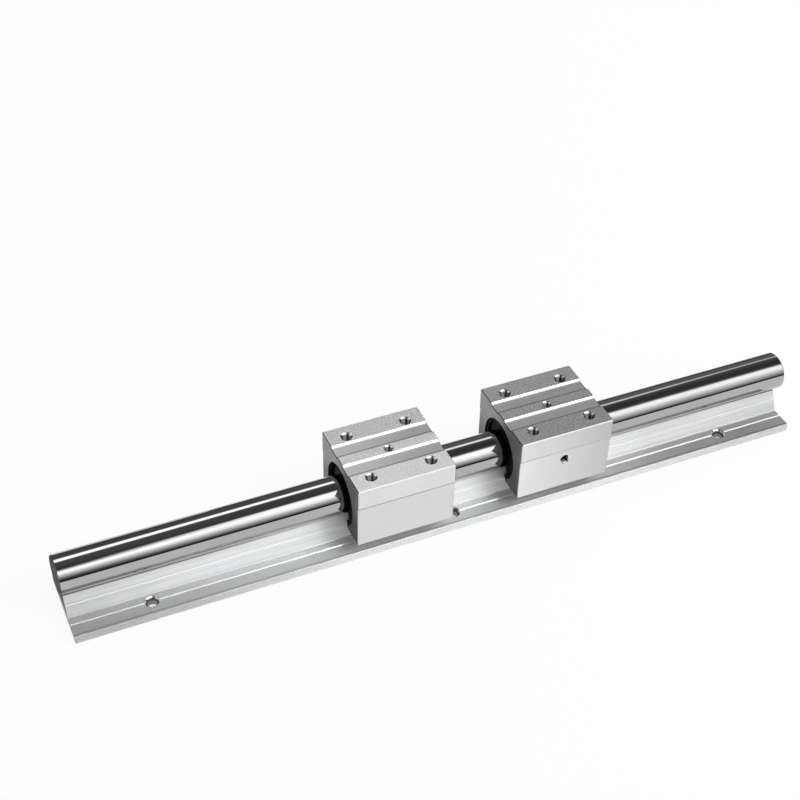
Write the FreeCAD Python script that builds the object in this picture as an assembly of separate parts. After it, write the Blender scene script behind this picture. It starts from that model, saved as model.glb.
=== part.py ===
import FreeCAD, Part
import math
import os
from FreeCAD import Placement, Rotation, Vector

# A round shaft carried along its whole length by an aluminium support, with two open
# bearing blocks that slide on it. Sizes are in millimetres. X runs along the rail, Y is
# across it and Z is up, with the origin at the middle of the rail's underside.

# Shaft
shaft_radius = 12.5
shaft_axis_height = 33.0
shaft_end_chamfer = 1.0
shaft_overhang = 2.0

# Support rail
rail_length = 500.0
base_width = 55.0
flange_thickness = 6.0
flange_edge_radius = 0.9
web_base_width = 24.0
neck_width = 9.0
web_root_radius = 1.2
base_line_half_width = 0.6
base_line_depth = 0.5
web_line_height = 13.8
web_line_half_width = 0.6
web_line_depth = 0.25

# Bolt stations along the rail
bolt_pitch = 200.0
bolt_spacing_across = 35.0
base_hole_radius = 3.25
base_hole_chamfer = 1.4

# Screws that hold the shaft on its support, put in from below
screw_radius = 3.0
screw_head_radius = 5.0
screw_head_height = 6.0
screw_socket_width = 5.0
screw_socket_depth = 3.0
screw_grip_in_shaft = 9.0
counterbore_depth = 7.0
counterbore_clearance = 0.5
screw_hole_clearance = 0.3
thread_clearance = 0.05
tapped_hole_run_out = 1.5

# Bearing block housing
left_block_x = -38.4
right_block_x = 72.2
block_length = 65.0
wall_above_bore = 7.0
wall_beside_bore = 10.0
block_bottom_height = 14.0
outer_land_width = 15.0
centre_land_width = 7.6
top_groove_depth = 1.5
side_step_below_top = 15.0
side_step_depth = 0.75
edge_chamfer = 0.5
end_chamfer = 0.4
lip_opening_width = 22.6

# Holes in the housing
mount_spacing = 40.0
mount_hole_radius = 3.0
mount_hole_depth = 12.0
mount_hole_chamfer = 1.0
drill_point_angle = 118.0
grease_hole_radius = 2.5
grease_hole_chamfer = 0.7
side_screw_above_axis = 4.0
side_hole_chamfer = 0.5
set_screw_length = 6.0
set_screw_socket_width = 3.0
set_screw_socket_depth = 3.0

# Open bearing inside the housing
bearing_radius = 20.0
bearing_length = 59.0
bearing_opening_angle = 50.0
bearing_fit = 0.03
sleeve_wall = 2.5
running_clearance = 0.05
retainer_fit = 0.03
seal_thickness = 2.5
snap_ring_thickness = 1.8
snap_ring_height = 2.4
snap_ring_groove_depth = 1.0
snap_ring_play = 0.05
bore_end_chamfer = 0.6

# Places that follow from the sizes above
seat_height = shaft_axis_height - shaft_radius
bolt_stations = [-bolt_pitch, 0.0, bolt_pitch]
block_width = 2.0 * (bearing_radius + wall_beside_bore)
block_top_height = shaft_axis_height + bearing_radius + wall_above_bore
opening_half_angle = bearing_opening_angle / 2.0


def export(name, solid):
    """Write one solid to its own STEP file."""
    solid.exportStep("parts/" + name + ".step")
    print(name, "faces", len(solid.Faces), "volume", round(solid.Volume, 1), solid.isValid())


def bar_along_x(outline, length):
    """Extrude a closed outline of (y, z) points along X, centred on X = 0."""
    corners = [Vector(-length / 2.0, y, z) for y, z in outline]
    face = Part.Face(Part.makePolygon(corners + corners[:1]))
    return face.extrude(Vector(length, 0, 0))


def both_halves(half_outline):
    """Close a right-hand half outline with its mirror image in Y."""
    mirrored = [(-y, z) for y, z in reversed(half_outline)]
    return half_outline + mirrored


def rod(radius, length, start, direction):
    """A cylinder from a start point along a direction."""
    return Part.makeCylinder(radius, length, start, direction)


def chamfer_cone(hole_radius, chamfer, mouth, inward):
    """The cone that a countersink takes off the mouth of a round hole."""
    return Part.makeCone(hole_radius + chamfer, hole_radius, chamfer, mouth, inward)


def hex_socket(width_across_flats, depth, mouth, inward):
    """A hexagonal recess, cut from its mouth inwards."""
    corner_radius = width_across_flats / math.sqrt(3.0)
    corners = []
    for index in range(6):
        angle = math.radians(60.0 * index)
        corners.append(Vector(corner_radius * math.cos(angle), corner_radius * math.sin(angle), 0))
    prism = Part.Face(Part.makePolygon(corners + corners[:1])).extrude(Vector(0, 0, depth))
    prism.Placement = Placement(mouth, Rotation(Vector(0, 0, 1), inward))
    return prism


def line_cut(y, z, normal, half_width, depth):
    """A V-shaped line along the rail, cut into the face that has this outward normal."""
    along = Vector(0, -normal.z, normal.y)
    point = Vector(-rail_length / 2.0, y, z)
    corners = [
        point + along * half_width * 2.0 + normal * depth,
        point - normal * depth,
        point - along * half_width * 2.0 + normal * depth,
    ]
    triangle = Part.Face(Part.makePolygon(corners + corners[:1]))
    return triangle.extrude(Vector(rail_length, 0, 0))


def edges_along_x(solid, y, z):
    """The long edges whose middle lies at this distance from the centre plane and height."""
    found = []
    for edge in solid.Edges:
        box = edge.BoundBox
        long_edge = box.XLength > rail_length / 2.0
        at_y = abs(abs(box.Center.y) - y) < 0.01
        at_z = abs(box.Center.z - z) < 0.01
        if long_edge and at_y and at_z:
            found.append(edge)
    return found


def support_rail():
    """One extrusion: a flanged base, a tapering web and a cradle for the shaft."""
    half_base = base_width / 2.0
    half_web = web_base_width / 2.0
    half_neck = neck_width / 2.0
    cradle_rise = shaft_radius - math.sqrt(shaft_radius ** 2 - half_neck ** 2)
    neck_top = seat_height + cradle_rise
    half_outline = [
        (half_base, 0.0),
        (half_base, flange_thickness),
        (half_web, flange_thickness),
        (half_neck, neck_top),
    ]
    rail = bar_along_x(both_halves(half_outline), rail_length)

    rounded = edges_along_x(rail, half_base, 0.0) + edges_along_x(rail, half_base, flange_thickness)
    rail = rail.makeFillet(flange_edge_radius, rounded)
    rail = rail.makeFillet(web_root_radius, edges_along_x(rail, half_web, flange_thickness))

    web_slope = (half_web - half_neck) / (neck_top - flange_thickness)
    line_y = half_web - web_slope * (web_line_height - flange_thickness)
    cuts = [rod(shaft_radius, rail_length, Vector(-rail_length / 2.0, 0, shaft_axis_height), Vector(1, 0, 0))]
    for side in (-1.0, 1.0):
        base_line_y = side * bolt_spacing_across / 2.0
        up = Vector(0, 0, 1)
        cuts.append(line_cut(base_line_y, flange_thickness, up, base_line_half_width, base_line_depth))
        web_normal = Vector(0, side, web_slope).normalize()
        cuts.append(line_cut(side * line_y, web_line_height, web_normal, web_line_half_width, web_line_depth))

    for x in bolt_stations:
        for side in (-1.0, 1.0):
            y = side * bolt_spacing_across / 2.0
            cuts.append(rod(base_hole_radius, flange_thickness, Vector(x, y, 0), Vector(0, 0, 1)))
            mouth = Vector(x, y, flange_thickness)
            cuts.append(chamfer_cone(base_hole_radius, base_hole_chamfer, mouth, Vector(0, 0, -1)))
        bottom = Vector(x, 0, 0)
        cuts.append(rod(screw_head_radius + counterbore_clearance, counterbore_depth, bottom, up))
        cuts.append(rod(screw_radius + screw_hole_clearance, neck_top, bottom, up))
    return rail.cut(cuts).removeSplitter()


def shaft():
    """The ground shaft, chamfered at its ends and tapped from below at each bolt station."""
    radius = shaft_radius
    tip = shaft_radius - shaft_end_chamfer
    half = rail_length / 2.0 + shaft_overhang
    outline = [
        Vector(-half, 0, 0),
        Vector(-half, tip, 0),
        Vector(-half + shaft_end_chamfer, radius, 0),
        Vector(half - shaft_end_chamfer, radius, 0),
        Vector(half, tip, 0),
        Vector(half, 0, 0),
    ]
    face = Part.Face(Part.makePolygon(outline + outline[:1]))
    solid = face.revolve(Vector(0, 0, 0), Vector(1, 0, 0), 360)
    solid.translate(Vector(0, 0, shaft_axis_height))
    hole_depth = screw_grip_in_shaft + tapped_hole_run_out
    for x in bolt_stations:
        bottom = Vector(x, 0, seat_height)
        hole = rod(screw_radius + thread_clearance, hole_depth, bottom, Vector(0, 0, 1))
        solid = solid.cut(hole)
    return solid


def shaft_screw(x):
    """A cap screw whose head sits in the underside of the support."""
    up = Vector(0, 0, 1)
    head_bottom = Vector(x, 0, counterbore_depth - screw_head_height)
    head = rod(screw_head_radius, screw_head_height, head_bottom, up)
    shank_length = seat_height + screw_grip_in_shaft - counterbore_depth
    shank = rod(screw_radius, shank_length, Vector(x, 0, counterbore_depth), up)
    socket = hex_socket(screw_socket_width, screw_socket_depth, head_bottom, up)
    return head.fuse(shank).cut(socket).removeSplitter()


def housing_outline():
    """The right half of the block's end view, from the top centre down to the lip."""
    half = block_width / 2.0
    top = block_top_height
    step_y = half - side_step_depth
    step_z = top - side_step_below_top
    groove_z = top - top_groove_depth
    outer_land = half - outer_land_width
    centre_land = centre_land_width / 2.0
    lip = lip_opening_width / 2.0
    return [
        (centre_land, top),
        (centre_land + top_groove_depth, groove_z),
        (outer_land - top_groove_depth, groove_z),
        (outer_land, top),
        (half - edge_chamfer, top),
        (half, top - edge_chamfer),
        (half, step_z),
        (step_y, step_z - side_step_depth),
        (step_y, block_bottom_height + edge_chamfer),
        (step_y - edge_chamfer, block_bottom_height),
        (lip, block_bottom_height),
        (lip, shaft_axis_height),
    ]


def tapped_hole(x, y):
    """A blind hole in the top face, with its drill point and its chamfer."""
    mouth = Vector(x, y, block_top_height)
    down = Vector(0, 0, -1)
    point_depth = mount_hole_radius / math.tan(math.radians(drill_point_angle / 2.0))
    bottom = mouth + down * mount_hole_depth
    return [
        rod(mount_hole_radius, mount_hole_depth, mouth, down),
        Part.makeCone(mount_hole_radius, 0, point_depth, bottom, down),
        chamfer_cone(mount_hole_radius, mount_hole_chamfer, mouth, down),
    ]


def end_edges(solid):
    """The straight outer edges of the block's two end faces."""
    found = []
    for edge in solid.Edges:
        box = edge.BoundBox
        on_end = box.XLength < 0.01 and abs(abs(box.Center.x) - block_length / 2.0) < 0.01
        in_opening = box.YLength < 0.01 and abs(abs(box.Center.y) - lip_opening_width / 2.0) < 0.01
        if on_end and not in_opening and edge.Curve.TypeId == "Part::GeomLine":
            found.append(edge)
    return found


def housing():
    """The aluminium block, drawn at X = 0 with its side screw towards -Y."""
    x_axis = Vector(1, 0, 0)
    axis_start = Vector(-block_length / 2.0, 0, shaft_axis_height)
    axis_end = Vector(block_length / 2.0, 0, shaft_axis_height)
    block = bar_along_x(both_halves(housing_outline()), block_length)
    block = block.cut(rod(bearing_radius, block_length, axis_start, x_axis))
    block = block.makeChamfer(end_chamfer, end_edges(block))

    cuts = [
        chamfer_cone(bearing_radius, bore_end_chamfer, axis_start, x_axis),
        chamfer_cone(bearing_radius, bore_end_chamfer, axis_end, x_axis * -1.0),
    ]
    groove_width = snap_ring_thickness + snap_ring_play
    groove_radius = bearing_radius + snap_ring_groove_depth
    right_groove_x = bearing_length / 2.0
    for groove_x in (-right_groove_x - groove_width, right_groove_x):
        cuts.append(rod(groove_radius, groove_width, Vector(groove_x, 0, shaft_axis_height), x_axis))
    for x in (-mount_spacing / 2.0, mount_spacing / 2.0):
        for y in (-mount_spacing / 2.0, mount_spacing / 2.0):
            cuts.extend(tapped_hole(x, y))

    grease_mouth = Vector(0, 0, block_top_height)
    down = Vector(0, 0, -1)
    grease_depth = block_top_height - shaft_axis_height - bearing_radius / 2.0
    cuts.append(rod(grease_hole_radius, grease_depth, grease_mouth, down))
    cuts.append(chamfer_cone(grease_hole_radius, grease_hole_chamfer, grease_mouth, down))

    side_mouth = Vector(0, side_step_depth - block_width / 2.0, shaft_axis_height + side_screw_above_axis)
    inward = Vector(0, 1, 0)
    side_depth = -side_mouth.y - bearing_radius / 2.0
    cuts.append(rod(screw_radius + thread_clearance, side_depth, side_mouth, inward))
    cuts.append(chamfer_cone(screw_radius + thread_clearance, side_hole_chamfer, side_mouth, inward))
    return block.cut(cuts).removeSplitter()


def open_ring(inner_radius, outer_radius, start_x, length):
    """A ring round the shaft axis that is open below, made by turning its section."""
    corners = [
        Vector(start_x, 0, -inner_radius),
        Vector(start_x + length, 0, -inner_radius),
        Vector(start_x + length, 0, -outer_radius),
        Vector(start_x, 0, -outer_radius),
    ]
    section = Part.Face(Part.makePolygon(corners + corners[:1]))
    section.rotate(Vector(0, 0, 0), Vector(1, 0, 0), opening_half_angle)
    turned = 360.0 - bearing_opening_angle
    ring = section.revolve(Vector(0, 0, 0), Vector(1, 0, 0), turned)
    ring.translate(Vector(0, 0, shaft_axis_height))
    return ring


def bearing_sleeve():
    """The hardened outer sleeve of the open bearing."""
    outer = bearing_radius - bearing_fit
    return open_ring(outer - sleeve_wall, outer, -bearing_length / 2.0, bearing_length)


def ball_retainer():
    """The moulded cage between the two seals, just clear of the shaft."""
    outer = bearing_radius - bearing_fit - sleeve_wall - retainer_fit
    length = bearing_length - 2.0 * seal_thickness
    return open_ring(shaft_radius + running_clearance, outer, -length / 2.0, length)


def seal(start_x):
    """A wiper ring inside one end of the sleeve."""
    outer = bearing_radius - bearing_fit - sleeve_wall - retainer_fit
    return open_ring(shaft_radius + running_clearance, outer, start_x, seal_thickness)


def snap_ring(start_x):
    """The spring ring in the housing that stops the bearing from moving out of one end."""
    outer = bearing_radius + snap_ring_groove_depth - snap_ring_play
    return open_ring(outer - snap_ring_height, outer, start_x, snap_ring_thickness)


def set_screw():
    """The headless screw in the side of the block, tight against the sleeve."""
    height = shaft_axis_height + side_screw_above_axis
    tip = Vector(0, -bearing_radius - thread_clearance, height)
    outward = Vector(0, -1, 0)
    mouth = tip + outward * set_screw_length
    screw = rod(screw_radius, set_screw_length, tip, outward)
    return screw.cut(hex_socket(set_screw_socket_width, set_screw_socket_depth, mouth, outward * -1.0))


def export_block(side, block_x, turned):
    """Write the pieces of one block, moved to its place and turned end for end if asked."""
    seal_x = bearing_length / 2.0 - seal_thickness
    ring_x = bearing_length / 2.0
    pieces = {
        "housing": housing(),
        "bearing_sleeve": bearing_sleeve(),
        "ball_retainer": ball_retainer(),
        "seal_minus_x": seal(-seal_x - seal_thickness),
        "seal_plus_x": seal(seal_x),
        "snap_ring_minus_x": snap_ring(-ring_x - snap_ring_thickness),
        "snap_ring_plus_x": snap_ring(ring_x),
        "set_screw": set_screw(),
    }
    for name, solid in pieces.items():
        if turned and name in ("housing", "set_screw"):
            solid.rotate(Vector(0, 0, 0), Vector(0, 0, 1), 180)
        solid.translate(Vector(block_x, 0, 0))
        export(side + "_block_" + name, solid)


os.makedirs("parts", exist_ok=True)
export("support_rail", support_rail())
export("shaft", shaft())
for place, station in zip(("left", "middle", "right"), bolt_stations):
    export("shaft_screw_" + place, shaft_screw(station))
export_block("left", left_block_x, turned=True)
export_block("right", right_block_x, turned=False)
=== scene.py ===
# %% [markdown]
# A round shaft on an aluminium support, with two open bearing blocks that slide on it. The solids
# come packed from CAD, in metres, with X along the rail, Y across it and Z up. This lesson gives
# them their finishes, adds the fine detail that is too small for CAD, and lights them.

import math

import bmesh
import bpy
from mathutils import Matrix, Vector


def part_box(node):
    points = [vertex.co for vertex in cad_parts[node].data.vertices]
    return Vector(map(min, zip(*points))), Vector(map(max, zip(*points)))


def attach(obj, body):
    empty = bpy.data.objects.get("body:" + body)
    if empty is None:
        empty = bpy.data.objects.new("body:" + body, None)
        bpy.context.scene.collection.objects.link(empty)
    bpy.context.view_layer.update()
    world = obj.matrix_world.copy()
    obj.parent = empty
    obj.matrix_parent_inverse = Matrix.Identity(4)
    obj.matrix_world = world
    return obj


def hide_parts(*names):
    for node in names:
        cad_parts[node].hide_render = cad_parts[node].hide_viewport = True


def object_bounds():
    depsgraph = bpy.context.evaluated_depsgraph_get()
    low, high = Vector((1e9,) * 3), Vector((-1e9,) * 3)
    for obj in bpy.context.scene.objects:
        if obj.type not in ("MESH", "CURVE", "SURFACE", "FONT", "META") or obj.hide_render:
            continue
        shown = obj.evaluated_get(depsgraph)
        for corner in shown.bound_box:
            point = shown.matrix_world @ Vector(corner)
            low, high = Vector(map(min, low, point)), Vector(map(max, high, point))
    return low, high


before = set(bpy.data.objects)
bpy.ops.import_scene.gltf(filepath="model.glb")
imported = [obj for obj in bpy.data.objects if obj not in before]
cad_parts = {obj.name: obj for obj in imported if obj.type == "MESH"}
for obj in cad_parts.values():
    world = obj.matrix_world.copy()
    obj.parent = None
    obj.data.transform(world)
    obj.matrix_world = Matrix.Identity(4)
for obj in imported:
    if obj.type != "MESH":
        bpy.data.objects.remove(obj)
cad_low, cad_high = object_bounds()
print("the CAD model spans", [round(high - low, 4) for low, high in zip(cad_low, cad_high)], "m")

# %% [markdown]
# The camera comes first, because every finish is judged through it. It stands in front, to the
# left and well above the rail, and looks down across it. It could be aimed with a constraint, but
# its place was worked out from the rail's corners, so it is written as a place, a direction to
# look in and a direction that is up. A long lens keeps the rail's far end nearly as large as its
# near end.

# %% Camera
CAMERA_PLACE = Vector((-0.3264, -0.65052, 0.70376))
LOOK_DIRECTION = Vector((0.31485788, 0.69407442, -0.64739881)).normalized()
CAMERA_UP = Vector((0.24580174, 0.59919341, 0.76193751)).normalized()
LENS_MM = 69.552


def add_camera():
    """Makes the camera and points it along the look direction."""
    camera = bpy.data.objects.new("camera", bpy.data.cameras.new("camera"))
    bpy.context.scene.collection.objects.link(camera)
    camera_right = LOOK_DIRECTION.cross(CAMERA_UP).normalized()
    upright = camera_right.cross(LOOK_DIRECTION)
    turned = Matrix((camera_right, upright, -LOOK_DIRECTION)).transposed()
    camera.matrix_world = Matrix.Translation(CAMERA_PLACE) @ turned.to_4x4()
    camera.data.sensor_width = 36.0
    camera.data.lens = LENS_MM
    camera.data.clip_start = 0.01
    camera.data.clip_end = 50.0
    bpy.context.scene.camera = camera
    return camera


camera = add_camera()
print("camera at", [round(value, 3) for value in camera.location], "with a", LENS_MM, "mm lens")

# %% [markdown]
# A finish is a small network of nodes. It could be drawn by hand in the editor, but a script can
# be read, repeated and changed. These helpers keep the networks short: one adds a node and fills
# its inputs, and the others do arithmetic on the values that flow between nodes. An input takes
# either a plain value or another node's output.

# %% Helpers for node networks
def feed(tree, socket, value):
    """Gives an input another node's output, or a plain value."""
    if isinstance(value, bpy.types.NodeSocket):
        tree.links.new(value, socket)
    else:
        socket.default_value = value


def add_node(tree, kind, settings=None, **inputs):
    """Adds a shader node, sets its options and fills its inputs by name."""
    node = tree.nodes.new("ShaderNode" + kind)
    for name, value in (settings or {}).items():
        setattr(node, name, value)
    for name, value in inputs.items():
        feed(tree, node.inputs[name.replace("_", " ")], value)
    return node


def calc(tree, operation, *values):
    """Arithmetic between outputs and numbers."""
    node = tree.nodes.new("ShaderNodeMath")
    node.operation = operation
    for index, value in enumerate(values):
        feed(tree, node.inputs[index], value)
    return node.outputs[0]


def product(tree, first, *others):
    """Multiplies outputs and numbers."""
    for other in others:
        first = calc(tree, "MULTIPLY", first, other)
    return first


def mix(tree, mask, low, high):
    """One number where the mask is 0 and another where it is 1."""
    node = add_node(tree, "Mix", {"data_type": "FLOAT"})
    feed(tree, node.inputs[0], mask)
    feed(tree, node.inputs[2], low)
    feed(tree, node.inputs[3], high)
    return node.outputs[0]


print("helpers for nodes ready")

# %% [markdown]
# Most finishes here change from place to place. A mask is a value that is 1 on one part of the
# surface and 0 elsewhere. Masks and slow changes could be painted as images, but then they would
# need a map of the surface. Worked out from each point's own place they need none, and they stay
# sharp at any distance.

# %% Masks, changes and patterns
def ramp_up(tree, value, start, end):
    """A smooth mask that is 0 at the start and 1 at the end. The end may be the lower number."""
    node = add_node(tree, "MapRange", {"interpolation_type": "SMOOTHSTEP", "clamp": True})
    feed(tree, node.inputs["Value"], value)
    node.inputs["From Min"].default_value = start
    node.inputs["From Max"].default_value = end
    return node.outputs["Result"]


def straight(tree, value, start, end, first, last):
    """A straight change from one number to another, level before its start and after its end."""
    node = add_node(tree, "MapRange", {"interpolation_type": "LINEAR", "clamp": True})
    feed(tree, node.inputs["Value"], value)
    names = ("From Min", "From Max", "To Min", "To Max")
    for name, number in zip(names, (start, end, first, last)):
        node.inputs[name].default_value = number
    return node.outputs["Result"]


def band(tree, value, low, high, edge):
    """A mask that is 1 between two values and falls off within the edge on both sides."""
    after_low = ramp_up(tree, value, low - edge, low)
    after_high = ramp_up(tree, value, high, high + edge)
    return product(tree, after_low, calc(tree, "SUBTRACT", 1.0, after_high))


def graded(tree, value, stops):
    """A level that changes with a value. The stops are pairs of a value and its level."""
    low = stops[0][0]
    high = stops[-1][0]
    along = calc(tree, "DIVIDE", calc(tree, "SUBTRACT", value, low), high - low)
    ramp = add_node(tree, "ValToRGB", Fac=along)
    highest = max(level for _, level in stops)
    places = ramp.color_ramp.elements
    while len(places) < len(stops):
        places.new(0.5)
    for place, (stop, level) in zip(places, stops):
        share = level / highest
        place.position = (stop - low) / (high - low)
        place.color = (share, share, share, 1.0)
    return product(tree, ramp.outputs["Color"], highest)


def noise(tree, place, scale, detail=2.0, stretch=(1.0, 1.0, 1.0)):
    """A noise pattern round 0.5. The scale is in features a metre, times the stretch."""
    mapping = add_node(tree, "Mapping", {"vector_type": "POINT"}, Vector=place, Scale=stretch)
    pattern = add_node(tree, "TexNoise", Vector=mapping.outputs[0], Scale=scale, Detail=detail)
    return pattern.outputs["Fac"]


def grey(tree, value, tint=(1.0, 1.0, 1.0)):
    """A colour of one brightness, with a slight tint."""
    node = add_node(tree, "CombineColor")
    for index, part in enumerate(tint):
        feed(tree, node.inputs[index], product(tree, value, part))
    return node.outputs[0]


print("masks and patterns ready")

# %% [markdown]
# Every finish starts in the same way: a material with one shader that stands for metal, plastic
# and rubber alike, and the place and direction of each point of the surface. A class keeps them
# together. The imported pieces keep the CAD's origin, so a place is in metres from the middle of the
# rail's underside, and it moves with its block.

# %% A finish
class Finish:
    """A material, with its shader and the place and direction of each point of the surface."""

    def __init__(self, name, metallic=1.0):
        self.material = bpy.data.materials.new(name)
        self.material.use_nodes = True
        self.tree = self.material.node_tree
        self.shader = self.tree.nodes["Principled BSDF"]
        self.set("Metallic", metallic)
        where = add_node(self.tree, "TexCoord")
        self.place = where.outputs["Object"]
        self.x, self.y, self.z = self.split(self.place)
        self.normal_x, self.normal_y, self.normal_z = self.split(where.outputs["Normal"])

    def split(self, vector):
        """The three numbers of a vector."""
        return add_node(self.tree, "SeparateXYZ", Vector=vector).outputs[:]

    def size(self, value):
        """A number without its sign."""
        return calc(self.tree, "ABSOLUTE", value)

    def set(self, name, value):
        """Fills one of the shader's inputs."""
        feed(self.tree, self.shader.inputs[name], value)

    def bump(self, height, distance, strength=1.0):
        """Tilts the surface by a height pattern. The distance is in metres."""
        node = add_node(self.tree, "Bump", Height=height, Strength=strength, Distance=distance)
        self.set("Normal", node.outputs["Normal"])

    def show(self, surface):
        """Lets another shader take the surface."""
        feed(self.tree, self.tree.nodes["Material Output"].inputs["Surface"], surface)


print("finishes can be made")

# %% [markdown]
# The studio has a white floor and white surroundings. A floor of plain white paint would turn grey
# wherever the light is weak, and one that only glows would take no shadow. So it is mostly glow to
# whoever looks at it, and the rest is paint, which takes the rail's shadow. What lies right under
# the rail glows less.

# %% Floor and surroundings
FLOOR_HALF_WIDTH = 12.0
FLOOR_GLOW = 0.94
FLOOR_GLOW_COVERED = 0.7
FLOOR_PAINT = (0.92, 0.92, 0.92, 1.0)
FLOOR_GAP = 0.0002
RAIL_HALF_LENGTH = 0.2500
RAIL_HALF_WIDTH = 0.0275
STUDIO_LIGHT = 0.45
WHITE = (1.0, 1.0, 1.0, 1.0)


def seen_directly(tree):
    """1 for rays from the camera, a mirror or glass, and 0 for light on a matt surface."""
    ray = add_node(tree, "LightPath").outputs
    seen = calc(tree, "MAXIMUM", ray["Is Camera Ray"], ray["Is Glossy Ray"])
    return calc(tree, "MAXIMUM", seen, ray["Is Transmission Ray"])


def studio_object(name, points, faces):
    """Turns points and faces into an object in the scene."""
    mesh = bpy.data.meshes.new(name)
    mesh.from_pydata(points, [], faces)
    thing = bpy.data.objects.new(name, mesh)
    bpy.context.scene.collection.objects.link(thing)
    return thing


def floor_paint():
    """White paint with a glow that is weaker where the rail covers the floor."""
    paint = Finish("floor_white", metallic=0.0)
    tree = paint.tree
    paint.set("Base Color", FLOOR_PAINT)
    paint.set("Roughness", 0.9)
    past_end = ramp_up(tree, paint.size(paint.x), RAIL_HALF_LENGTH - 0.0010, RAIL_HALF_LENGTH)
    past_side = ramp_up(tree, paint.size(paint.y), RAIL_HALF_WIDTH - 0.0007, RAIL_HALF_WIDTH)
    uncovered = calc(tree, "MAXIMUM", past_end, past_side)
    share = product(tree, seen_directly(tree), FLOOR_GLOW, mix(tree, uncovered, FLOOR_GLOW_COVERED, 1.0))
    glow = add_node(tree, "Emission", Strength=1.0)
    both = add_node(tree, "MixShader")
    for index, value in enumerate((share, paint.shader.outputs[0], glow.outputs[0])):
        feed(tree, both.inputs[index], value)
    paint.show(both.outputs[0])
    return paint.material


def add_floor():
    """A wide square just under the rail."""
    half = FLOOR_HALF_WIDTH
    corners = [(-half, -half, 0.0), (half, -half, 0.0), (half, half, 0.0), (-half, half, 0.0)]
    floor = studio_object("floor", corners, [(0, 1, 2, 3)])
    floor.location.z = cad_low.z - FLOOR_GAP
    floor.data.materials.append(floor_paint())
    return floor


def set_surroundings():
    """White where the camera or a mirror looks, and a plain soft light on everything else."""
    world = bpy.data.worlds.new("studio")
    world.use_nodes = True
    tree = world.node_tree
    background = tree.nodes["Background"]
    background.inputs["Color"].default_value = WHITE
    feed(tree, background.inputs["Strength"], mix(tree, seen_directly(tree), STUDIO_LIGHT, 1.0))
    bpy.context.scene.world = world


floor = add_floor()
set_surroundings()
bpy.context.scene.view_settings.view_transform = "Standard"
print("floor at", round(floor.location.z, 4), "m, studio light", STUDIO_LIGHT)

# %% [markdown]
# A mirror-bright shaft shows little of itself. Its stripes are reflections of long soft boxes, and
# the dark bands between them are black cloth, which photographers hang up for just that. Many
# lamps and flags could stand round the rail, but two curved sheets, two metres out, do the work of
# all of them: each gives off light that changes over it. The camera doesn't see them.
#
# Matt surfaces take their light mostly from a stretch of the sheets on the right. So each block
# throws a soft shadow on the support to its left, and the stripes in the shaft stay as they are.

# %% Sheets of light and shade round the rail
STUDIO_RADIUS = 2.0
STUDIO_HALF_LENGTH = 4.0
SHEET_STEPS = 48
SHAFT_HEIGHT = 0.033
MATT_SHARE = 0.55
MATT_SHARE_ON_RIGHT = 6.2
MATT_START = (0.6, 0.9)
MATT_END = (1.9, 1.6)


def hang_sheet(name, first_angle, last_angle):
    """A curved sheet along the rail, and the angle of each of its points in degrees. The angle is
    0 overhead, 90 in front and -90 behind."""
    points = []
    for step in range(SHEET_STEPS + 1):
        angle = math.radians(first_angle + (last_angle - first_angle) * step / SHEET_STEPS)
        y = -STUDIO_RADIUS * math.sin(angle)
        z = STUDIO_RADIUS * math.cos(angle) + SHAFT_HEIGHT
        points.append((-STUDIO_HALF_LENGTH, y, z))
        points.append((STUDIO_HALF_LENGTH, y, z))
    faces = [(first, first + 1, first + 3, first + 2) for first in range(0, 2 * SHEET_STEPS, 2)]
    sheet = studio_object(name, points, faces)
    sheet.visible_camera = False

    light = Finish(name)
    sheet.data.materials.append(light.material)
    tree = light.tree
    height = calc(tree, "SUBTRACT", light.z, SHAFT_HEIGHT)
    angle = calc(tree, "ARCTAN2", product(tree, light.y, -1.0), height)
    return light, calc(tree, "DEGREES", angle)


def light_up(light, strength):
    """Makes a sheet give off light of the strength to mirrors, and a share of it to matt surfaces,
    a large one on the right."""
    tree = light.tree
    on_right = product(tree, ramp_up(tree, light.x, *MATT_START), ramp_up(tree, light.x, *MATT_END))
    matt_share = mix(tree, on_right, MATT_SHARE, MATT_SHARE_ON_RIGHT)
    share = mix(tree, seen_directly(tree), matt_share, 1.0)
    glow = add_node(tree, "Emission", Strength=product(tree, strength, share))
    light.show(glow.outputs[0])


print("sheets hang", STUDIO_RADIUS, "m from the shaft")

# %% [markdown]
# The sheet behind makes the narrow bright stripe near the top of the shaft. It is dark cloth with
# one long soft box in it. The stripe leans over and narrows towards the rail's far end, so the box
# does too. It fades to a third past the right end of the rail. Further right, a plain patch
# overhead lights the holes, and one far to the left lights their right-hand walls.

# %% The sheet behind
BOX_STRENGTH = 2.3
BOX_STRENGTH_FAR = 0.32 * BOX_STRENGTH
BOX_ENDS = (-0.2, 1.4)
BOX_ANGLES = (-30.5, -43.0)
BOX_HALF_WIDTHS = (9.2, 4.3)
OVERHEAD_STRENGTH = 1.8
OVERHEAD_START = (1.75, 2.05)
OVERHEAD_ANGLES = (-50.0, -42.0)
FAR_LEFT_STRENGTH = 0.9
FAR_LEFT_START = (-1.5, -1.8)
FAR_LEFT_ANGLES = (-76.0, -68.0)
LEFT_SHARE = 0.15
RIGHT_SHARE = 1.2
CLOTH_LEFT = [(-100.0, 0.07), (-82.0, 0.10), (-70.0, 0.09), (-50.0, 0.12), (-16.0, 0.12),
              (8.0, 0.10), (14.0, 0.07), (20.0, 0.06)]
CLOTH_RIGHT = [(-100.0, 0.07), (-82.0, 0.12), (-70.0, 0.20), (-50.0, 0.18), (-10.0, 0.06),
               (8.0, 0.06), (14.0, 0.08), (20.0, 0.30)]


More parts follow.
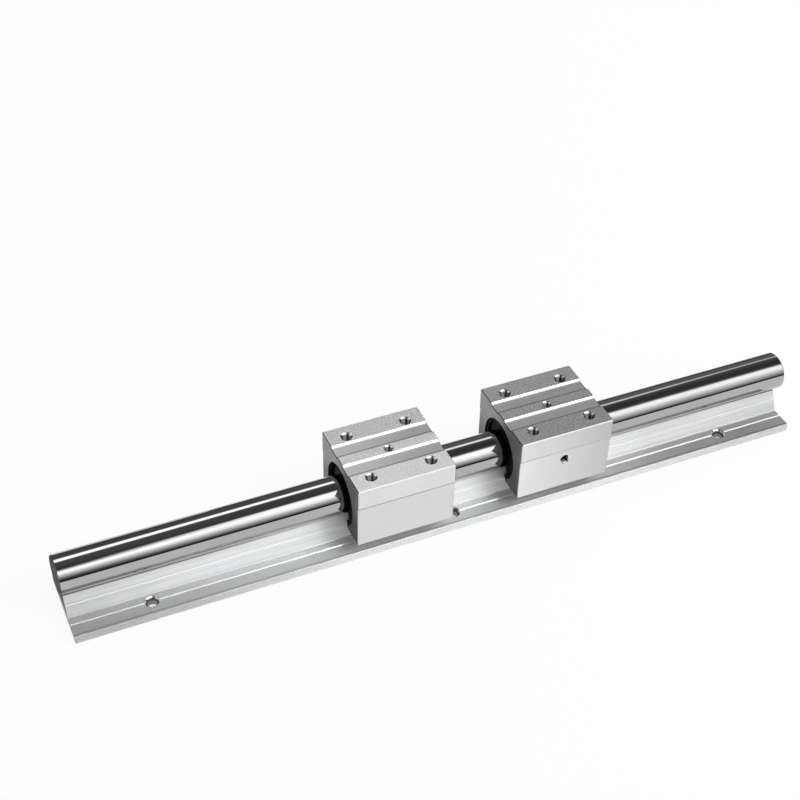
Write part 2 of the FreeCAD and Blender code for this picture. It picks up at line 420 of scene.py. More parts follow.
def more_from_the_right(light):
    """A factor along the rail: dim on the left, plain in the middle and bright on the right."""
    tree = light.tree
    on_left = straight(tree, light.x, -0.9, -0.2, LEFT_SHARE, 1.0)
    on_right = straight(tree, light.x, 1.6, 2.4, 1.0, RIGHT_SHARE)
    return product(tree, on_left, on_right)


def leaning_box(light, angle):
    """The light of a soft box that leans and narrows towards the rail's far end."""
    tree = light.tree
    middle = straight(tree, light.x, *BOX_ENDS, *BOX_ANGLES)
    half_width = straight(tree, light.x, *BOX_ENDS, *BOX_HALF_WIDTHS)
    off_middle = light.size(calc(tree, "SUBTRACT", angle, middle))
    outside = ramp_up(tree, calc(tree, "DIVIDE", off_middle, half_width), 0.5, 1.5)
    strength = straight(tree, light.x, 0.35, 1.35, BOX_STRENGTH, BOX_STRENGTH_FAR)
    return product(tree, calc(tree, "SUBTRACT", 1.0, outside), strength)


def sheet_behind():
    """Dark cloth, the leaning box, and a patch of light past each end of the rail."""
    light, angle = hang_sheet("sheet_behind", -100.0, 20.0)
    tree = light.tree
    towards_right = straight(tree, light.x, 0.1, 0.8, 0.0, 1.0)
    glow = mix(tree, towards_right, graded(tree, angle, CLOTH_LEFT), graded(tree, angle, CLOTH_RIGHT))
    glow = calc(tree, "ADD", glow, leaning_box(light, angle))
    overhead = product(tree, ramp_up(tree, light.x, *OVERHEAD_START),
                       ramp_up(tree, angle, *OVERHEAD_ANGLES))
    glow = calc(tree, "ADD", glow, product(tree, overhead, OVERHEAD_STRENGTH))
    glow = product(tree, glow, more_from_the_right(light))
    far_left = product(tree, ramp_up(tree, light.x, *FAR_LEFT_START),
                       ramp_up(tree, angle, *FAR_LEFT_ANGLES))
    glow = calc(tree, "ADD", glow, product(tree, far_left, FAR_LEFT_STRENGTH))
    light_up(light, glow)


sheet_behind()
print("hung the sheet behind")

# %% [markdown]
# The sheet in front makes the broad bright band along the shaft's side. It is one wide soft box
# that fades to black at the horizon. The band isn't the same all along the rail: on the left it
# starts lower and fades sooner. So there are three runs of levels by angle, on the left, in the
# middle and on the right, and the sheet goes from one to the next.

# %% The sheet in front
FRONT_LEFT = [(20.0, 0.05), (26.0, 0.20), (32.0, 1.1), (38.0, 2.3), (44.0, 2.45), (50.0, 1.78),
              (56.0, 1.20), (62.0, 0.90), (68.0, 0.55), (74.0, 0.24), (80.0, 0.11), (86.0, 0.04),
              (90.9, 0.02)]
FRONT_MIDDLE = [(20.0, 0.30), (26.0, 1.95), (32.0, 2.4), (44.0, 2.25), (50.0, 2.1), (56.0, 1.75),
                (62.0, 1.18), (68.0, 0.82), (74.0, 0.64), (80.0, 0.32), (86.0, 0.07), (90.9, 0.02)]
FRONT_RIGHT = [(20.0, 0.25), (26.0, 1.6), (32.0, 2.1), (44.0, 1.95), (50.0, 1.7), (56.0, 1.35),
               (62.0, 1.08), (68.0, 0.81), (74.0, 0.63), (80.0, 0.41), (86.0, 0.14), (90.9, 0.02)]


def sheet_in_front():
    """A soft box that fades to black at the horizon, in three stretches along the rail."""
    light, angle = hang_sheet("sheet_in_front", 20.0, 90.9)
    tree = light.tree
    past_left = straight(tree, light.x, -0.05, 0.35, 0.0, 1.0)
    past_middle = straight(tree, light.x, 0.7, 1.1, 0.0, 1.0)
    glow = mix(tree, past_left, graded(tree, angle, FRONT_LEFT), graded(tree, angle, FRONT_MIDDLE))
    glow = mix(tree, past_middle, glow, graded(tree, angle, FRONT_RIGHT))
    light_up(light, product(tree, glow, more_from_the_right(light)))


sheet_in_front()
print("hung the sheet in front")

# %% [markdown]
# Three black cards are left. Two low ones stand on the floor in front and behind, and draw dark
# lines along the underside of the shaft. A tall one stands past the right end, and keeps the
# white surroundings out of the holes. They could be made with flags on the sheets, but the floor
# lies inside the sheets, and its reflection has to be covered too. They show in reflections only.

# %% Black cards
CARD_STRENGTH = 0.03


def stand_card(name, first, last, height):
    """A black card between two places on the floor."""
    corners = [(*first, 0.0), (*last, 0.0), (*last, height), (*first, height)]
    card = studio_object(name, corners, [(0, 1, 2, 3)])
    card.visible_camera = False
    card.visible_diffuse = False
    card.visible_shadow = False
    light = Finish(name)
    card.data.materials.append(light.material)
    light_up(light, CARD_STRENGTH)


stand_card("card_in_front", (-1.5, -0.42), (1.5, -0.42), 0.06)
stand_card("card_behind", (-0.10, 0.30), (0.55, 0.17), 0.04)
stand_card("card_on_right", (2.8, -2.0), (2.8, 2.0), 2.1)
print("stood three cards")

# %% [markdown]
# Hard chrome on a ground shaft is a near-perfect mirror, a little darker than silver. A plain
# metal shader would do, but the real finish has faint rings from grinding, so the roughness and
# the relief change slightly along the shaft, by a noise that is stretched round it.

# %% Chrome for the shaft
def shaft_chrome():
    """A mirror with faint rings round the shaft."""
    finish = Finish("shaft_chrome")
    tree = finish.tree
    rings = noise(tree, finish.place, 220.0, detail=3.0, stretch=(1.0, 0.02, 0.02))
    clouds = noise(tree, finish.place, 30.0, detail=1.0)
    finish.set("Base Color", grey(tree, mix(tree, clouds, 0.41, 0.45), (0.995, 0.995, 1.0)))
    finish.set("Roughness", mix(tree, rings, 0.04, 0.09))
    finish.bump(rings, 0.00001, 0.25)
    return finish.material


chrome = shaft_chrome()
print("made", chrome.name)

# %% [markdown]
# The blocks are extruded aluminium: blasted on their lands, smoother in the two grooves along the
# top, satin on their sides and milled on their ends. Each of these could be a material of its own
# on its own faces, but the faces would then have to be picked out one by one. One material does it
# all instead. The direction and place of a point say what it is on, as a set of masks, and four
# noise patterns stand for blasted grains, blotches, drawn streaks and milling marks.

# %% Masks and marks on a block
BLOCK_TOP = 0.0600
GROOVE_FLOOR = 0.0585
OUTER_LAND_START = 0.0150
BORE_RADIUS = 0.0200
LOWER_SIDE = 0.02925


class BlockFinish(Finish):
    """The finish of one block, with a mask for each kind of face."""

    def __init__(self, side):
        super().__init__(side + "_housing_aluminium")
        tree = self.tree
        self.low, self.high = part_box(side + "_block_housing")
        self.half_length = (self.high.x - self.low.x) / 2.0
        middle = (self.low.x + self.high.x) / 2.0
        self.from_middle = self.size(calc(tree, "SUBTRACT", self.x, middle))
        self.mark_faces()
        self.mark_hollows()
        self.speckle = ramp_up(tree, noise(tree, self.place, 1150.0, detail=3.0), 0.36, 0.64)
        self.blotches = noise(tree, self.place, 45.0, detail=2.0)
        self.drawn = noise(tree, self.place, 900.0, detail=2.0, stretch=(0.03, 1.0, 1.0))
        self.milled = noise(tree, self.place, 1200.0, detail=2.0, stretch=(1.0, 0.08, 1.0))

    def mark_faces(self):
        """Masks for the top, its lands, the ends and the narrow slanted edges."""
        tree = self.tree
        size_x = self.size(self.normal_x)
        size_y = self.size(self.normal_y)
        size_z = self.size(self.normal_z)
        self.faces_up = ramp_up(tree, self.normal_z, 0.90, 0.95)
        above_grooves = ramp_up(tree, self.z, BLOCK_TOP - 0.0008, BLOCK_TOP - 0.0005)
        self.on_land = product(tree, self.faces_up, above_grooves)
        self.faces_end = ramp_up(tree, size_x, 0.90, 0.95)
        flattest = calc(tree, "MAXIMUM", size_x, calc(tree, "MAXIMUM", size_y, size_z))
        self.bevel = calc(tree, "SUBTRACT", 1.0, ramp_up(tree, flattest, 0.85, 0.93))

    def mark_hollows(self):
        """Masks for the bore and the holes. The end faces round the bore stay out of both."""
        tree = self.tree
        short_of_end = calc(tree, "LESS_THAN", self.from_middle, self.half_length - 0.00005)
        above_axis = calc(tree, "SUBTRACT", self.z, SHAFT_HEIGHT)
        squares = calc(tree, "ADD", product(tree, above_axis, above_axis), product(tree, self.y, self.y))
        near_axis = calc(tree, "LESS_THAN", calc(tree, "SQRT", squares), BORE_RADIUS + 0.0008)
        self.in_bore = product(tree, near_axis, short_of_end)
        within_sides = calc(tree, "LESS_THAN", self.size(self.y), LOWER_SIDE - 0.00045)
        under_top = calc(tree, "LESS_THAN", self.z, GROOVE_FLOOR - 0.0004)
        self.in_hole = product(tree, within_sides, under_top, short_of_end)


print("masks for the blocks ready")

# %% [markdown]
# The side of a block is satin, with a painted shade line where it steps in below the top. The two
# blocks differ in brightness, and so does each along its length: that is painted light, a pool of
# light over the left block that fades towards the right. A second lamp for one of them would show
# in the shaft, so every level is given once for each block instead. A level with two numbers goes
# from one to the other.

# %% The sides of a block
STEP_HEIGHT = 0.0450
# Painted light on the sides of each block: a straight change along it, lighter or darker above the step.
SIDE_PAINTED_LIGHT = {"left": (0.97, 0.95), "right": (1.11, 0.76)}
UPPER_SIDE = {"left": 1.06, "right": 0.95}
# A painted shade line just under the step, where the overhang shades the side.
STEP_SHADE_LINE = {"left": 0.40, "right": 0.52}
TOP_EDGE = {"left": 0.45, "right": 0.50}
# Painted shade at the foot of the grooves' walls, and the walls' level above it.
WALL_FOOT_SHADE = 0.24
WALL_UPPER = 0.80


def side_brightness(finish, side):
    """The outer sides, with painted light and a painted shade line, and the low walls of the grooves, with
    painted shade at their foot.
    """
    tree = finish.tree
    level = straight(tree, finish.x, finish.low.x, finish.high.x, *SIDE_PAINTED_LIGHT[side])
    above_step = ramp_up(tree, finish.z, STEP_HEIGHT + 0.0006, STEP_HEIGHT + 0.0009)
    level = product(tree, mix(tree, finish.blotches, 0.72, 0.80), level,
                    mix(tree, above_step, 1.0, UPPER_SIDE[side]))
    on_step = band(tree, finish.z, STEP_HEIGHT - 0.0001, STEP_HEIGHT + 0.0007, 0.0002)
    level = mix(tree, on_step, level, STEP_SHADE_LINE[side])
    near_top = ramp_up(tree, finish.z, BLOCK_TOP - 0.0012, BLOCK_TOP - 0.0008)
    level = mix(tree, product(tree, finish.bevel, near_top), level, TOP_EDGE[side])

    between_lands = calc(tree, "LESS_THAN", finish.size(finish.y), OUTER_LAND_START + 0.0005)
    above_floor = ramp_up(tree, finish.z, GROOVE_FLOOR - 0.0003, GROOVE_FLOOR - 0.0001)
    above_foot = ramp_up(tree, finish.z, GROOVE_FLOOR + 0.0003, GROOVE_FLOOR + 0.0006)
    wall = mix(tree, above_foot, WALL_FOOT_SHADE, WALL_UPPER)
    return mix(tree, product(tree, between_lands, above_floor), level, wall)


print("side levels", SIDE_PAINTED_LIGHT)

# %% [markdown]
# On top, three blasted lands stand above two smoother grooves. Blasting leaves a fine speckle of
# brighter and darker grains, and the speckle's two levels make a land look rough or even. The
# levels also hold painted light, a soft highlight that differs from rear to front and from block to
# block. The grooves keep the streaks of the extrusion, with painted light that fades along the left
# block. A painted shade strip at the foot of each groove's front wall makes its corner crisp, which
# the soft light alone doesn't.

# %% The top of a block
# Speckle levels of each land, with painted light in them, for the rear and the front.
REAR_LAND = {"left": (0.58, 0.90), "right": (0.34, 0.62)}
FRONT_LAND = {"left": (0.78, 1.00), "right": (0.30, 0.54)}
# The grooves' levels carry painted light that fades along the left block, and the shade at the foot of each
# front wall is painted.
GROOVE_STREAKS = {"left": (0.49, 0.57), "right": (0.38, 0.45)}
GROOVE_PAINTED_LIGHT = {"left": (1.08, 0.80), "right": (1.0, 1.0)}
GROOVE_FEET = [(-0.0136, -0.0129), (0.0050, 0.0060)]
GROOVE_SHADE = 0.52


def groove_brightness(finish, side):
    """Streaks along the grooves, painted light along the block, and painted shade at the foot of each front
    wall.
    """
    tree = finish.tree
    towards_right = ramp_up(tree, finish.x, finish.low.x, finish.high.x)
    feet = [band(tree, finish.y, low, high, 0.0008) for low, high in GROOVE_FEET]
    near_foot = calc(tree, "MAXIMUM", *feet)
    streaks = mix(tree, finish.drawn, *GROOVE_STREAKS[side])
    level = mix(tree, towards_right, *GROOVE_PAINTED_LIGHT[side])
    return product(tree, streaks, level, mix(tree, near_foot, 1.0, GROOVE_SHADE))


def land_brightness(finish, side):
    """Speckled lands with painted light that changes from the rear of the block to its front."""
    tree = finish.tree
    in_front = ramp_up(tree, finish.y, 0.010, -0.010)
    rear = mix(tree, finish.speckle, *REAR_LAND[side])
    front = mix(tree, finish.speckle, *FRONT_LAND[side])
    return mix(tree, in_front, rear, front)


print("land levels, rear", REAR_LAND, "and front", FRONT_LAND)

# %% [markdown]
# The ends are milled, with painted shade towards the base and the front. The slanted edge round
# them is dark along the top and brighter elsewhere. The bore and the CAD holes are painted dark as
# shade. The masks then bring sides, top, ends and hollows together, the most special last, in
# brightness, in roughness and in relief.

# %% The whole finish of a block
# The ends' levels upward and backward are painted shade, darker low down and towards the front.
END_STREAKS = (0.38, 0.48)
END_LEVELS_UPWARD = (0.55, 1.08)
END_LEVELS_BACKWARD = (0.72, 1.06)
# Painted shade in the CAD holes, and near black in the bore.
HOLE_SHADE = 0.35
BORE_SHADE = 0.04
DULL_RIM = (0.35, 0.35, 0.35, 1.0)


def end_brightness(finish):
    """The milled ends, with painted shade low down and towards the front."""
    tree = finish.tree
    upward = ramp_up(tree, finish.z, 0.02, 0.05)
    backward = ramp_up(tree, finish.y, -0.012, 0.010)
    return product(tree, mix(tree, finish.milled, *END_STREAKS), mix(tree, upward, *END_LEVELS_UPWARD),
                   mix(tree, backward, *END_LEVELS_BACKWARD))


def block_brightness(finish, side):
    """The brightness of every face of a block."""
    tree = finish.tree
    level = mix(tree, finish.faces_up, side_brightness(finish, side), groove_brightness(finish, side))
    level = mix(tree, finish.on_land, level, land_brightness(finish, side))
    level = mix(tree, finish.faces_end, level, end_brightness(finish))
    at_end = ramp_up(tree, finish.from_middle, finish.half_length - 0.0005, finish.half_length - 0.0004)
    end_edge = mix(tree, ramp_up(tree, finish.normal_z, 0.3, 0.5), 0.50, 0.05)
    level = mix(tree, product(tree, finish.bevel, at_end), level, end_edge)
    level = mix(tree, finish.in_hole, level, HOLE_SHADE)
    return mix(tree, finish.in_bore, level, BORE_SHADE)


def block_roughness(finish):
    """The roughness of every face of a block."""
    tree = finish.tree
    level = mix(tree, finish.faces_up, 0.36, 0.38)
    level = mix(tree, finish.on_land, level, mix(tree, finish.speckle, 0.28, 0.36))
    level = mix(tree, finish.faces_end, level, 0.48)
    level = mix(tree, finish.bevel, level, 0.15)
    return mix(tree, finish.in_bore, level, 0.5)


def block_relief(finish):
    """The height of the marks on every face of a block."""
    tree = finish.tree
    height = mix(tree, finish.faces_up, product(tree, finish.blotches, 0.1), product(tree, finish.drawn, 0.2))
    height = mix(tree, finish.on_land, height, finish.speckle)
    return mix(tree, finish.faces_end, height, product(tree, finish.milled, 0.3))


def housing_aluminium(side):
    """The aluminium of one block, on the left or on the right."""
    finish = BlockFinish(side)
    tree = finish.tree
    finish.set("Base Color", grey(tree, block_brightness(finish, side), (1.0, 0.996, 1.0)))
    finish.set("Metallic", mix(tree, finish.faces_end, 1.0, 0.6))
    finish.set("Roughness", block_roughness(finish))
    finish.set("Specular Tint", DULL_RIM)
    finish.bump(block_relief(finish), 0.0002, 0.4)
    return finish.material


block_aluminium = {side: housing_aluminium(side) for side in ("left", "right")}
print("made", block_aluminium["left"].name, "and", block_aluminium["right"].name)

# %% [markdown]
# The support is one long extrusion. Its die leaves fine lines along the whole length, clearest on
# the sloping web. They come from a noise that is stretched far along the rail, because real lines
# would cost thousands of faces. Each part of the section has its own run of levels by the place
# along the rail, which is painted light: brightest in the middle, falling off towards the ends. The
# neck under the shaft gets painted shade, darkest towards the ends.

# %% Levels along the support rail
# Painted light along the rail for the web, the base and the front edges.
WEB_PAINTED_LIGHT = [(-0.25, 0.78), (-0.19, 0.97), (-0.14, 0.97), (-0.09, 1.0), (0.08, 1.0), (0.15, 0.80),
              (0.21, 0.80), (0.25, 0.68)]
# Painted shade on the neck under the shaft, darkest towards the rail's ends.
NECK_PAINTED_SHADE = [(-0.25, 0.13), (-0.16, 0.16), (-0.08, 0.75), (0.06, 0.70), (0.17, 0.30), (0.25, 0.13)]
BASE_PAINTED_LIGHT = [(-0.25, 0.62), (-0.19, 0.74), (-0.14, 0.88), (-0.09, 1.0), (-0.03, 1.0), (0.05, 0.94),
               (0.11, 0.70), (0.165, 0.49), (0.21, 0.42), (0.25, 0.38)]
EDGE_PAINTED_LIGHT = [(-0.25, 0.62), (-0.17, 0.70), (-0.08, 1.0), (0.12, 1.0), (0.25, 0.74)]
NECK_START = 0.0190
OUTSIDE_BOLTS = (0.0178, 0.0196)
FLANGE_EDGE = (0.0256, 0.0266)
# The rail's ends are painted near black, a painted shade.
END_LEVEL = 0.06
BRIGHTEST = 0.97


def web_brightness(finish, lines):
    """The sloping web, with its lines and painted light along the rail, and painted shade on the narrow neck
    under the shaft.
    """
    tree = finish.tree
    streaks = mix(tree, ramp_up(tree, lines, 0.36, 0.64), 0.85, 1.0)
    on_neck = ramp_up(tree, finish.z, NECK_START, NECK_START + 0.0009)
    neck = mix(tree, on_neck, 1.0, graded(tree, finish.x, NECK_PAINTED_SHADE))
    return product(tree, streaks, graded(tree, finish.x, WEB_PAINTED_LIGHT), neck)


def base_brightness(finish, lines):
    """The base's top, with painted light along the rail, a little darker outside the bolt holes and along its
    edge.
    """
    tree = finish.tree
    from_middle = finish.size(finish.y)
    near_edge = mix(tree, band(tree, from_middle, *FLANGE_EDGE, 0.0006), 1.0, 0.72)
    outside_bolts = mix(tree, ramp_up(tree, from_middle, *OUTSIDE_BOLTS), 1.0, 0.97)
    level = product(tree, mix(tree, lines, 0.90, 1.08), graded(tree, finish.x, BASE_PAINTED_LIGHT))
    return product(tree, level, near_edge, outside_bolts)


print("the web's brightest level is", max(level for _, level in WEB_PAINTED_LIGHT))

# %% [markdown]
# The support's material brings these levels together, as the blocks' does. It is less of a metal
# than they are, because the lines scatter much of the light: a share of it is matt, and that share
# shows the soft shadows that the blocks throw.

# %% Aluminium for the support rail
FLANGE_TOP = 0.0060


def support_aluminium():
    """Extruded aluminium with lines along the rail."""
    finish = Finish("support_aluminium")
    tree = finish.tree
    faces_up = ramp_up(tree, finish.normal_z, 0.90, 0.97)
    faces_end = ramp_up(tree, finish.size(finish.normal_x), 0.90, 0.95)
    faces_front = ramp_up(tree, finish.size(finish.normal_y), 0.96, 0.99)
    above_base = ramp_up(tree, finish.z, FLANGE_TOP, FLANGE_TOP + 0.0008)
    fine_lines = noise(tree, finish.place, 1400.0, detail=3.0, stretch=(0.006, 1.0, 1.0))
    broad_lines = noise(tree, finish.place, 320.0, detail=2.0, stretch=(0.02, 1.0, 1.0))
    lines = calc(tree, "ADD", product(tree, fine_lines, 0.6), product(tree, broad_lines, 0.4))
    clouds = noise(tree, finish.place, 40.0, detail=3.0, stretch=(0.6, 1.0, 1.0))
    specks = noise(tree, finish.place, 1300.0, detail=2.0)

    edge = product(tree, mix(tree, specks, 0.62, 0.94), graded(tree, finish.x, EDGE_PAINTED_LIGHT))
    level = mix(tree, faces_up, edge, base_brightness(finish, lines))
    level = mix(tree, above_base, level, web_brightness(finish, lines))
    level = product(tree, level, mix(tree, clouds, 0.93, 1.07))
    level = mix(tree, faces_end, calc(tree, "MINIMUM", level, BRIGHTEST), END_LEVEL)
    finish.set("Base Color", grey(tree, level, (0.985, 0.993, 1.0)))
    finish.set("Metallic", mix(tree, above_base, 0.62, 0.46))
    finish.set("Specular Tint", DULL_RIM)

    flat = calc(tree, "MAXIMUM", calc(tree, "MAXIMUM", faces_up, above_base), faces_front)
    roughness = mix(tree, above_base, mix(tree, lines, 0.36, 0.46), mix(tree, lines, 0.44, 0.56))
    finish.set("Roughness", mix(tree, flat, 0.16, roughness))
    finish.bump(lines, 0.0002, 0.35)
    return finish.material


rail_aluminium = support_aluminium()
print("made", rail_aluminium.name)

# %% [markdown]
# The bearing's own pieces sit in the bore: a hardened sleeve, spring rings, a black moulded ball
# cage and black rubber seals. The sleeve and the rings are painted near black, which is painted
# shade from the bore. The screws are blackened steel, and the shaft's cut ends are painted dark grey
# as shade. Little of them shows, so one function makes all their finishes, each a mottled dark grey
# with fine rings.

# %% Steel, rubber and plastic for the bearing and the screws
def bearing_finish(name, metallic, dark, light, roughness, scale, depth):
    """A finish that is mottled between two brightnesses, with rings round the shaft."""
    finish = Finish(name, metallic=metallic)
    tree = finish.tree
    mottle = noise(tree, finish.place, scale, detail=3.0)
    rings = noise(tree, finish.place, 1600.0, detail=2.0, stretch=(1.0, 0.04, 0.04))
    finish.set("Base Color", grey(tree, mix(tree, mottle, dark, light)))
    finish.set("Roughness", mix(tree, rings, roughness - 0.06, roughness + 0.06))
    finish.set("Specular IOR Level", 0.1)
    finish.set("Specular Tint", (0.3, 0.3, 0.3, 1.0))
    finish.bump(rings, depth, 0.4)
    return finish.material


# The sleeve's and the spring rings' near black is painted shade, and so is the dark grey of the shaft's cut
# ends.
bearing_steel = bearing_finish("bearing_steel", 1.0, 0.06, 0.10, 0.36, 300.0, 0.0001)
ring_steel = bearing_finish("ring_steel", 1.0, 0.04, 0.08, 0.40, 500.0, 0.0001)
seal_rubber = bearing_finish("seal_rubber", 0.0, 0.008, 0.014, 0.60, 700.0, 0.0003)
retainer_plastic = bearing_finish("retainer_plastic", 0.0, 0.010, 0.018, 0.50, 400.0, 0.0002)
screw_steel = bearing_finish("screw_steel", 1.0, 0.10, 0.16, 0.38, 900.0, 0.0001)
cut_steel = bearing_finish("cut_steel", 1.0, 0.10, 0.16, 0.45, 900.0, 0.0001)
for finished in (bearing_steel, ring_steel, seal_rubber, retainer_plastic, screw_steel, cut_steel):
    print("made", finished.name)

# %% [markdown]
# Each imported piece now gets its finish. They could be given one by one, but the pieces of the two
# blocks have the same names after left or right, so a table of name parts is enough. The first
# part that is found in a piece's name decides.

# %% Give each CAD node its finish
NODE_FINISHES = {
    "left_block_housing": block_aluminium["left"],
    "right_block_housing": block_aluminium["right"],
    "bearing_sleeve": bearing_steel,
    "ball_retainer": retainer_plastic,
    "seal": seal_rubber,
    "snap_ring": ring_steel,
    "set_screw": screw_steel,
    "shaft_screw": screw_steel,
    "support_rail": rail_aluminium,
    "shaft": chrome,
}


def dress(piece, material):
    """Puts one material on the whole of a piece."""
    if piece.material_slots:
        for slot in piece.material_slots:
            slot.material = material
    else:
        piece.data.materials.append(material)


for node_name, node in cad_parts.items():
    kind = next(part for part in NODE_FINISHES if part in node_name)
    dress(node, NODE_FINISHES[kind])
print("dressed", len(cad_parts), "CAD nodes")

# %% [markdown]
# The CAD shaft has flat strips where a mirror needs a true curve, so a finer one stands for it. A
# plain cylinder would do for the length of it, but the real one is turned, with a chamfer at each
# end. So it is made as a lathe does it: an outline is spun round the shaft's axis. The same small
# helpers then make the holes' mouths and threads.

# %% Helpers for turned pieces
def link_mesh(name, shape):
    """Turns a finished bmesh into an object in the scene."""
    mesh = bpy.data.meshes.new(name)
    shape.to_mesh(mesh)
    shape.free()
    piece = bpy.data.objects.new(name, mesh)
    bpy.context.scene.collection.objects.link(piece)
    return piece


def smooth_by_angle(piece, angle):
    """Smooth shading with crisp edges where two faces meet at more than the angle."""
    piece.data.shade_smooth()
    piece.data.set_sharp_from_angle(angle=math.radians(angle))


def face_between(shape, rows):
    """Puts a strip of four-sided faces between each two rows of points."""
    for first_row, second_row in zip(rows, rows[1:]):
        for index in range(len(first_row) - 1):
            corners = (first_row[index], second_row[index], second_row[index + 1], first_row[index + 1])
            shape.faces.new(corners)


print("helpers for turned pieces ready")

# %% The turned shaft
ROUND_STEPS = 192
SHAFT_CHAMFER = 0.001
shaft_low, shaft_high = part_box("shaft")


def shaft_outline():
    """The shaft's section as (x, radius) points, from end to end."""
    radius = (shaft_high.z - shaft_low.z) / 2.0
    return [
        (shaft_low.x, radius - SHAFT_CHAMFER),
        (shaft_low.x + SHAFT_CHAMFER, radius),
        (shaft_high.x - SHAFT_CHAMFER, radius),
        (shaft_high.x, radius - SHAFT_CHAMFER),
    ]


def turned_shaft():
    """Spins the outline round the shaft's axis. The ends take the second material."""
    axis_height = (shaft_high.z + shaft_low.z) / 2.0
    shape = bmesh.new()
    rings = []
    for x, ring_radius in shaft_outline():
        ring = []
        for step in range(ROUND_STEPS):
            angle = 2.0 * math.pi * (step + 0.5) / ROUND_STEPS
            y = ring_radius * math.sin(angle)
            z = axis_height + ring_radius * math.cos(angle)
            ring.append(shape.verts.new((x, y, z)))
        rings.append(ring)
    face_between(shape, [ring + ring[:1] for ring in rings])
    shape.faces.new(rings[0])
    shape.faces.new(list(reversed(rings[-1])))
    bmesh.ops.recalc_face_normals(shape, faces=shape.faces)
    for face in shape.faces:
        face.material_index = int(abs(face.normal.x) > 0.5)
    piece = link_mesh("shaft_ground", shape)
    smooth_by_angle(piece, 30.0)
    return piece


shaft_piece = turned_shaft()
dress(shaft_piece, chrome)
shaft_piece.data.materials.append(cut_steel)
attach(shaft_piece, "rail")
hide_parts("shaft")
print("shaft has", len(shaft_piece.data.polygons), "faces")

# %% [markdown]
# Each hole has a cone at its mouth, which takes off the burr and guides the screw in. The holes of
# the blocks are tapped. CAD keeps the cones coarse and leaves the threads out, because both would
# cost thousands of faces there. A bump could stand for a thread, but the light in a hole falls on
# its true ridges. So each mouth is lined with a smooth turned ring, and a ridge winds down the
# wall of each tapped hole.

# %% Mouths and threads
TURN_STEPS = 40
MOUTH_STEPS = 64
MILLIMETRE = 0.001


def hole_frame(inward):
    """The hole's own direction and two directions across it."""
    inward = inward.normalized()
    across = inward.orthogonal().normalized()
    return inward, across, inward.cross(across)


def line_mouth(shape, mouth, inward, outline):
    """Turns an outline of (radius, depth) points, in millimetres, round the hole's axis."""
    inward, across, beside = hole_frame(inward)
    rows = []
    for step in range(MOUTH_STEPS):
        angle = 2.0 * math.pi * step / MOUTH_STEPS
        outward = across * math.cos(angle) + beside * math.sin(angle)
        row = []
        for radius, depth in outline:
            row.append(shape.verts.new(mouth + outward * radius * MILLIMETRE + inward * depth * MILLIMETRE))
        rows.append(row)
    face_between(shape, rows + rows[:1])


def wind_thread(shape, mouth, inward, thread):
    """Winds one ridge down the wall of a hole. The mouth is the middle of the hole's opening."""
    inward, across, beside = hole_frame(inward)
    pitch = thread["pitch"]
    root = thread["radius"]
    crest = root - thread["depth"]
    profile = [(root, 0.0), (crest, 0.42 * pitch), (crest, 0.58 * pitch), (root, pitch)]
    first_turn = mouth + inward * thread["start"]
    rows = []
    for step in range(int(TURN_STEPS * thread["length"] / pitch) + 1):
        angle = 2.0 * math.pi * step / TURN_STEPS
        outward = across * math.cos(angle) + beside * math.sin(angle)
        start = first_turn + inward * (pitch * step / TURN_STEPS)
        rows.append([shape.verts.new(start + outward * r + inward * along) for r, along in profile])
    face_between(shape, rows)


def add_hole_piece(name, shape, material, body):
    """Makes one piece of the mouths or threads, and lets it ride on its body."""
    piece = link_mesh(name, shape)
    smooth_by_angle(piece, 35.0)
    dress(piece, material)
    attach(piece, body)
    print(piece.name, "has", len(piece.data.polygons), "faces")


print("mouths and threads can be made")

# %% [markdown]
# A drill or a tap leaves brighter metal than blasting does, with fine rings round the hole. Deep in
# a hole little light arrives. The render finds most of that by itself, and the rest is painted shade
# from near the foot of the cone downwards. The threads are painted darker all over, as shade too.
# The shade is worked out from the place of a point, so one finish serves all the mouths, and another
# all the threads.

# %% Cut aluminium
SIDE_HOLE_HEIGHT = 0.0370
DEEP_HOLE_SHADE = 0.35


def deep_in_holes(finish):
    """A mask from near the foot of the cones downwards, in the top, the side and the base."""
    tree = finish.tree
    in_top = band(tree, finish.z, BLOCK_TOP - 0.0120, BLOCK_TOP - 0.0008, 0.0003)
    in_base = ramp_up(tree, finish.z, FLANGE_TOP - 0.0007, FLANGE_TOP - 0.0010)
    near_side = band(tree, finish.z, SIDE_HOLE_HEIGHT - 0.0070, SIDE_HOLE_HEIGHT + 0.0070, 0.0005)
    inside = calc(tree, "LESS_THAN", finish.size(finish.y), LOWER_SIDE - 0.00055)
    in_side = product(tree, near_side, inside)
    return calc(tree, "MAXIMUM", in_top, calc(tree, "MAXIMUM", in_base, in_side))


def machined_aluminium(name, dark, light):
    """The cut surface that a drill or tap leaves, with fine rings and painted shade deep in the holes."""
    finish = Finish(name)
    tree = finish.tree
    cuts = noise(tree, finish.place, 2500.0, detail=2.0, stretch=(0.3, 0.3, 1.0))
    level = product(tree, mix(tree, cuts, dark, light), mix(tree, deep_in_holes(finish), 1.0, DEEP_HOLE_SHADE))
    finish.set("Base Color", grey(tree, level))
    finish.set("Roughness", mix(tree, cuts, 0.14, 0.24))
    finish.bump(cuts, 0.0001, 0.2)
    return finish.material


cut_aluminium = machined_aluminium("drilled_aluminium", 0.60, 0.85)
# The threads' darker levels are painted shade.
thread_aluminium = machined_aluminium("tapped_aluminium", 0.30, 0.60)
print("made", cut_aluminium.name, "and", thread_aluminium.name)

# %% [markdown]
# A block has four tapped holes on top for what it carries, a grease hole between them and a hole
# in one side for a set screw. Every outline lies a hair inside the CAD hole, so that the smooth
# ring hides the coarse one.

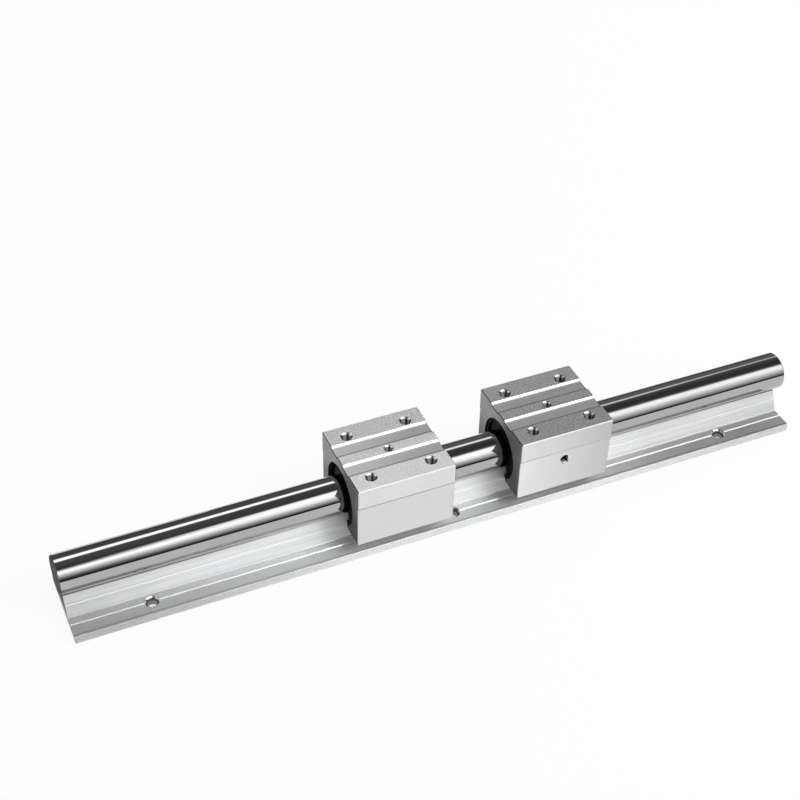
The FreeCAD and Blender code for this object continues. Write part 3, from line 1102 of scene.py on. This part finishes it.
# %% Holes of the two blocks
MOUNT_OFFSET = 0.020
MOUNT_OUTLINE = [(3.99, 0.0), (3.94, 0.03), (2.93, 1.04), (2.70, 1.30), (2.68, 1.60)]
GREASE_OUTLINE = [(3.19, 0.0), (3.14, 0.03), (2.42, 0.75), (2.20, 1.00), (2.18, 1.20)]
SIDE_OUTLINE = [(3.54, 0.0), (3.49, 0.03), (2.84, 0.42), (2.68, 0.60), (2.66, 0.80)]
MOUNT_THREAD = {"start": 0.0013, "radius": 0.00302, "depth": 0.00050, "pitch": 0.0010, "length": 0.0100}
GREASE_THREAD = {"start": 0.0010, "radius": 0.00252, "depth": 0.00040, "pitch": 0.0008, "length": 0.0055}
SIDE_THREAD = {"start": 0.0006, "radius": 0.00307, "depth": 0.00050, "pitch": 0.0010, "length": 0.0020}


def hole_places(side, screw_side):
    """The mouth, direction, outline and thread of each hole. The screw side is -1 towards the
    viewer and 1 away."""
    low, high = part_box(side + "_block_housing")
    middle_x = (low.x + high.x) / 2.0
    down = Vector((0.0, 0.0, -1.0))
    places = []
    for x in (middle_x - MOUNT_OFFSET, middle_x + MOUNT_OFFSET):
        for y in (-MOUNT_OFFSET, MOUNT_OFFSET):
            places.append((Vector((x, y, high.z)), down, MOUNT_OUTLINE, MOUNT_THREAD))
    places.append((Vector((middle_x, 0.0, high.z)), down, GREASE_OUTLINE, GREASE_THREAD))
    side_mouth = Vector((middle_x, screw_side * LOWER_SIDE, SIDE_HOLE_HEIGHT))
    places.append((side_mouth, Vector((0.0, -screw_side, 0.0)), SIDE_OUTLINE, SIDE_THREAD))
    return places


def block_holes(side, screw_side):
    """Adds the mouths and the threads of one block."""
    mouths = bmesh.new()
    threads = bmesh.new()
    for mouth, inward, outline, thread in hole_places(side, screw_side):
        line_mouth(mouths, mouth, inward, outline)
        wind_thread(threads, mouth, inward, thread)
    add_hole_piece(side + "_block_mouths", mouths, cut_aluminium, side + "_block")
    add_hole_piece(side + "_block_threads", threads, thread_aluminium, side + "_block")


block_holes("left", 1.0)
block_holes("right", -1.0)

# %% [markdown]
# The support is bolted down through six plain holes in its base, in three pairs. They are
# countersunk but not tapped, so they get mouths only, which go down nearly to the underside.

# %% Holes of the support
BASE_STATIONS = (-0.200, 0.0, 0.200)
BASE_OFFSET = 0.0175
BASE_OUTLINE = [(4.63, 0.0), (4.56, 0.04), (3.25, 1.35), (3.20, 1.5), (3.20, 5.9)]


def support_holes():
    """The mouths of the six bolt holes in the base."""
    shape = bmesh.new()
    down = Vector((0.0, 0.0, -1.0))
    for x in BASE_STATIONS:
        for y in (-BASE_OFFSET, BASE_OFFSET):
            line_mouth(shape, Vector((x, y, FLANGE_TOP)), down, BASE_OUTLINE)
    add_hole_piece("support_hole_mouths", shape, cut_aluminium, "rail")


support_holes()
